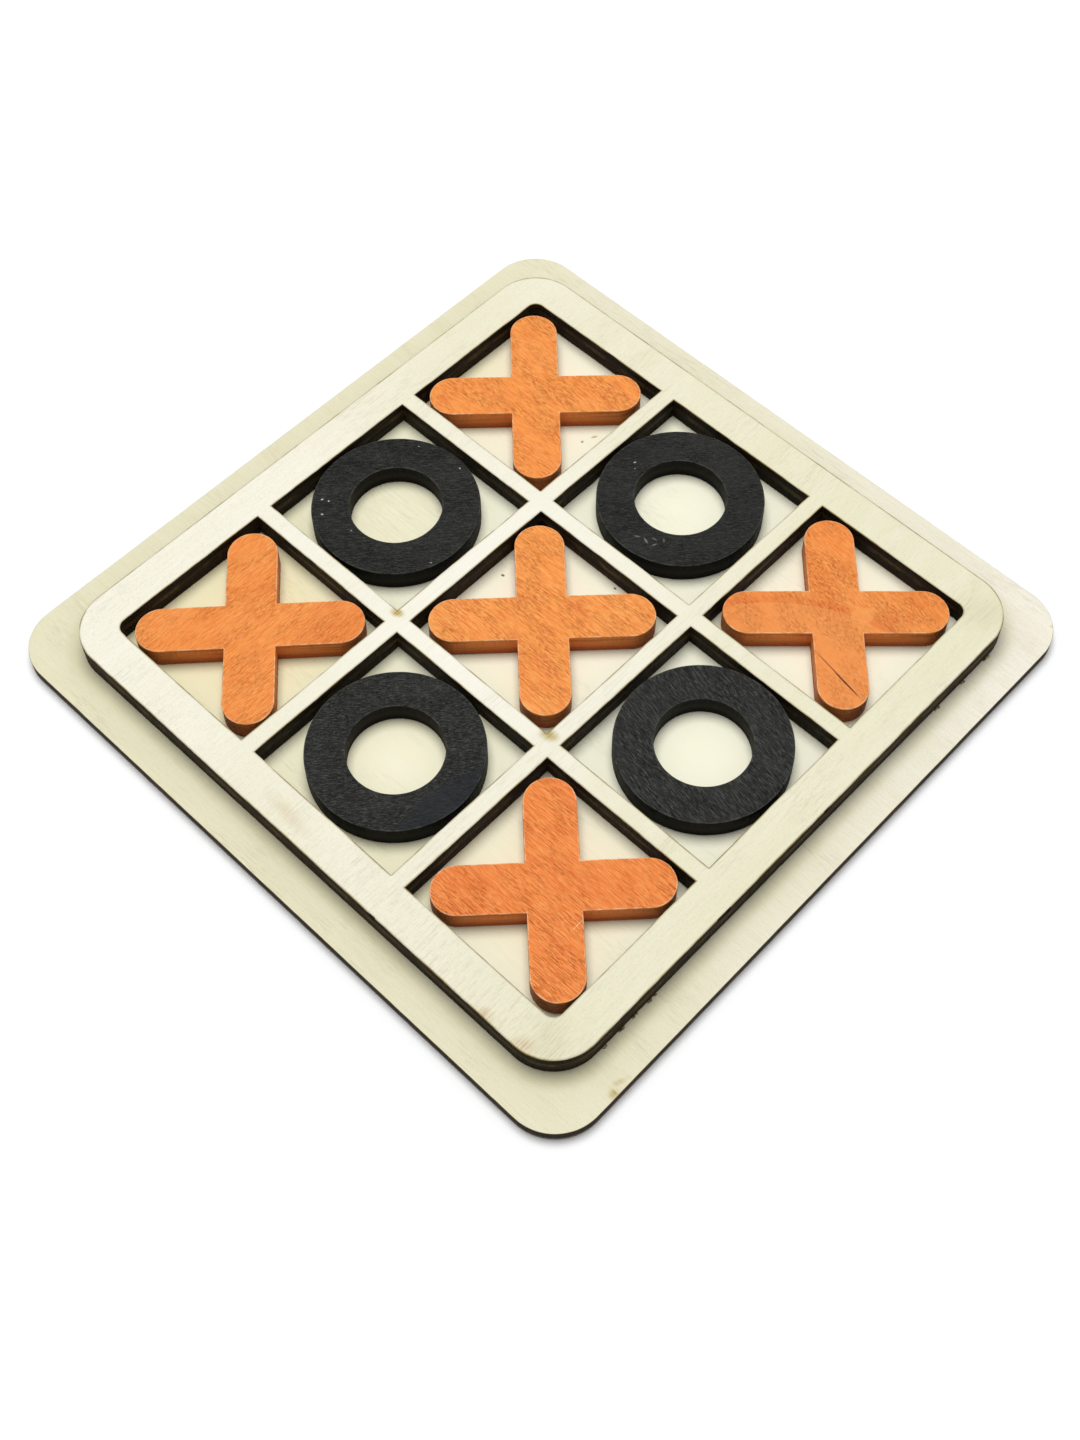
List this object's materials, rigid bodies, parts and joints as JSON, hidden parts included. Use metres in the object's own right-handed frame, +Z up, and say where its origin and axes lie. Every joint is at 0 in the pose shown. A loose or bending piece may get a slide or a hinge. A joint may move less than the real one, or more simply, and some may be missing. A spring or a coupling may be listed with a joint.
{
  "type": "tic tac toe set",
  "caption": "Laser-cut plywood noughts and crosses set: a square board with a raised grid of pockets that hold loose cross and ring tokens.",
  "frame": {"origin": "middle of the base board's underside", "axes": "+Z up, out of the pockets; X and Y along the board's sides"},
  "size_m": [0.14, 0.14, 0.0078],
  "materials": {
    "board_ply": "bare sanded plywood with a dark laser-cut edge",
    "frame_ply": "bare sanded plywood with a dark laser-cut edge",
    "orange_stained_ply": "matt orange stain over plywood",
    "black_stained_ply": "satin black stain over plywood",
    "glue": "dried wood glue, slightly glossy"
  },
  "bodies": {
    "board": {"base_board": "board_ply", "glue_layer": "glue", "grid_frame": "frame_ply"},
    "cross_back_left": {"cross_token_back_left": "orange_stained_ply"},
    "cross_back_right": {"cross_token_back_right": "orange_stained_ply"},
    "cross_middle": {"cross_token_middle": "orange_stained_ply"},
    "cross_front_left": {"cross_token_front_left": "orange_stained_ply"},
    "cross_front_right": {"cross_token_front_right": "orange_stained_ply"},
    "ring_left": {"ring_token_left": "black_stained_ply"},
    "ring_back": {"ring_token_back": "black_stained_ply"},
    "ring_front": {"ring_token_front": "black_stained_ply"},
    "ring_right": {"ring_token_right": "black_stained_ply"}
  },
  "joints": [
    {"name": "cross_back_left_lift", "type": "slide", "parent": "board", "child": "cross_back_left", "axis": [0, 0, 1], "range_m": [0, 0.025]},
    {"name": "cross_back_right_lift", "type": "slide", "parent": "board", "child": "cross_back_right", "axis": [0, 0, 1], "range_m": [0, 0.025]},
    {"name": "cross_middle_lift", "type": "slide", "parent": "board", "child": "cross_middle", "axis": [0, 0, 1], "range_m": [0, 0.025]},
    {"name": "cross_front_left_lift", "type": "slide", "parent": "board", "child": "cross_front_left", "axis": [0, 0, 1], "range_m": [0, 0.025]},
    {"name": "cross_front_right_lift", "type": "slide", "parent": "board", "child": "cross_front_right", "axis": [0, 0, 1], "range_m": [0, 0.025]},
    {"name": "ring_left_lift", "type": "slide", "parent": "board", "child": "ring_left", "axis": [0, 0, 1], "range_m": [0, 0.025]},
    {"name": "ring_back_lift", "type": "slide", "parent": "board", "child": "ring_back", "axis": [0, 0, 1], "range_m": [0, 0.025]},
    {"name": "ring_front_lift", "type": "slide", "parent": "board", "child": "ring_front", "axis": [0, 0, 1], "range_m": [0, 0.025]},
    {"name": "ring_right_lift", "type": "slide", "parent": "board", "child": "ring_right", "axis": [0, 0, 1], "range_m": [0, 0.025]}
  ]
}
